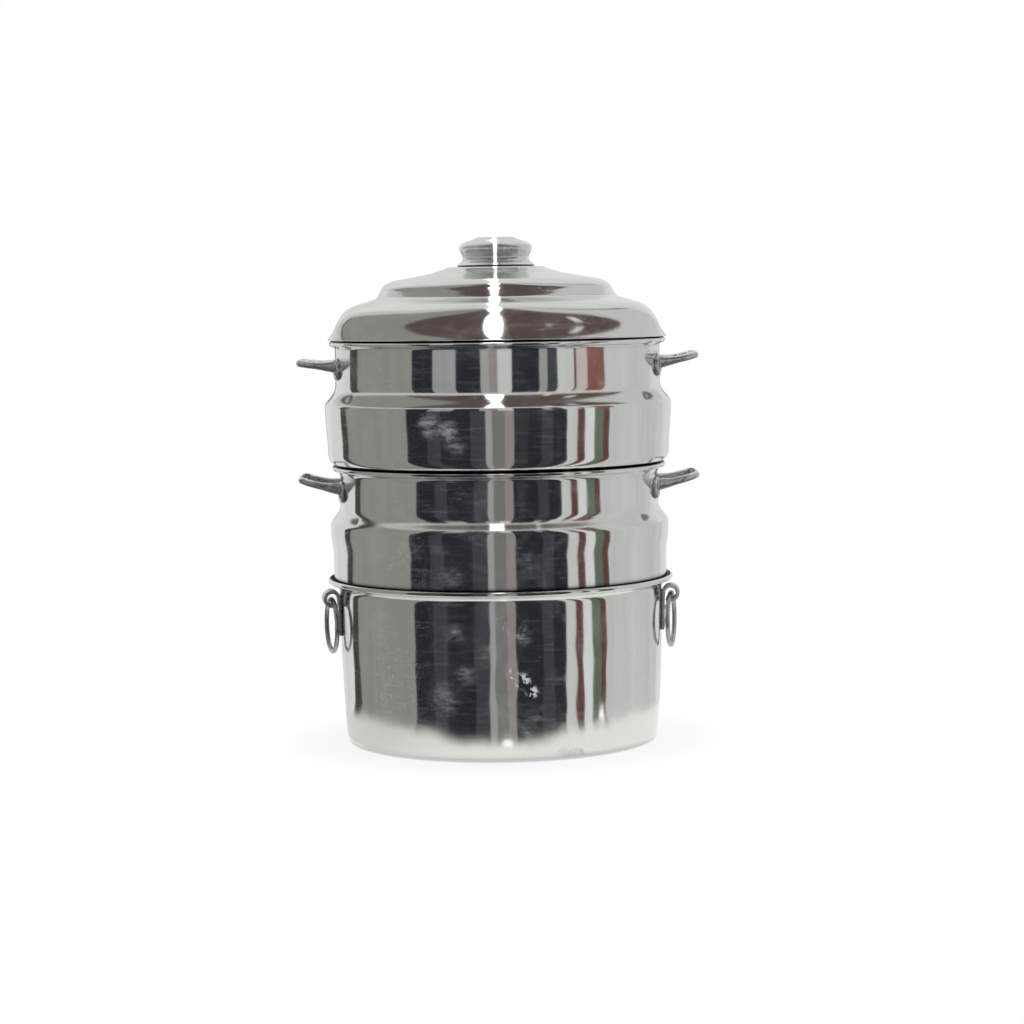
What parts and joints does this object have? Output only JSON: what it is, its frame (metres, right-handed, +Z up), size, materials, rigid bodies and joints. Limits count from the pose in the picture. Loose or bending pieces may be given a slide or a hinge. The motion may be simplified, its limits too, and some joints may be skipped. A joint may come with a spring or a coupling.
{
  "type": "food steamer",
  "caption": "Stacking food steamer: a water pot with ring handles, perforated tiers with loop handles, and a stepped domed lid with a hollow knob.",
  "frame": {"origin": "centre of the pot's underside, on the stack's axis", "axes": "+Z up along the stack's axis, -Y the front that the picture shows, the tier handles on +X and -X"},
  "size_m": [0.3804, 0.3282, 0.4774],
  "materials": {
    "spun_aluminium": "spun and mirror polished, with fine turning lines",
    "cast_aluminium": "sand cast, tumbled, dull grey",
    "steel_wire": "bent and welded wire, dull bright",
    "strap_aluminium": "rolled strip, satin",
    "rivet_aluminium": "hammered rivet heads, bright",
    "plated_steel": "zinc plated fasteners"
  },
  "bodies": {
    "pot": {"pot_body": "spun_aluminium", "pot_lug_right": "strap_aluminium", "pot_lug_left": "strap_aluminium", "lug_rivet_right_upper": "rivet_aluminium", "lug_rivet_right_lower": "rivet_aluminium", "lug_rivet_left_upper": "rivet_aluminium", "lug_rivet_left_lower": "rivet_aluminium"},
    "ring_right": {"pot_ring_right": "steel_wire"},
    "ring_left": {"pot_ring_left": "steel_wire"},
    "lower_tier": {"lower_tier_body": "spun_aluminium", "lower_handle_right": "cast_aluminium", "lower_handle_left": "cast_aluminium", "lower_rivet_right_front_outer": "rivet_aluminium", "lower_rivet_right_front_inner": "rivet_aluminium", "lower_rivet_right_back_outer": "rivet_aluminium", "lower_rivet_right_back_inner": "rivet_aluminium", "lower_rivet_left_front_outer": "rivet_aluminium", "lower_rivet_left_front_inner": "rivet_aluminium", "lower_rivet_left_back_outer": "rivet_aluminium", "lower_rivet_left_back_inner": "rivet_aluminium"},
    "upper_tier": {"upper_tier_body": "spun_aluminium", "upper_handle_right": "cast_aluminium", "upper_handle_left": "cast_aluminium", "upper_rivet_right_front_outer": "rivet_aluminium", "upper_rivet_right_front_inner": "rivet_aluminium", "upper_rivet_right_back_outer": "rivet_aluminium", "upper_rivet_right_back_inner": "rivet_aluminium", "upper_rivet_left_front_outer": "rivet_aluminium", "upper_rivet_left_front_inner": "rivet_aluminium", "upper_rivet_left_back_outer": "rivet_aluminium", "upper_rivet_left_back_inner": "rivet_aluminium"},
    "lid": {"lid_shell": "spun_aluminium", "lid_knob": "spun_aluminium", "knob_screw": "plated_steel", "knob_washer": "plated_steel", "knob_nut": "plated_steel"}
  },
  "joints": [
    {"name": "ring_right_swing", "type": "hinge", "parent": "pot", "child": "ring_right", "pos_m": [0.16148, -0.01413, 0.1392], "axis": [-0.0872, -0.9962, 0], "range_deg": [-7, 160]},
    {"name": "ring_left_swing", "type": "hinge", "parent": "pot", "child": "ring_left", "pos_m": [-0.1601, -0.02536, 0.1392], "axis": [-0.1564, 0.9877, 0], "range_deg": [-7, 160]},
    {"name": "lower_tier_lift", "type": "slide", "parent": "pot", "child": "lower_tier", "axis": [0, 0, 1], "range_m": [0, 0.09]},
    {"name": "upper_tier_lift", "type": "slide", "parent": "lower_tier", "child": "upper_tier", "axis": [0, 0, 1], "range_m": [0, 0.09]},
    {"name": "lid_lift", "type": "slide", "parent": "upper_tier", "child": "lid", "axis": [0, 0, 1], "range_m": [0, 0.12]}
  ]
}
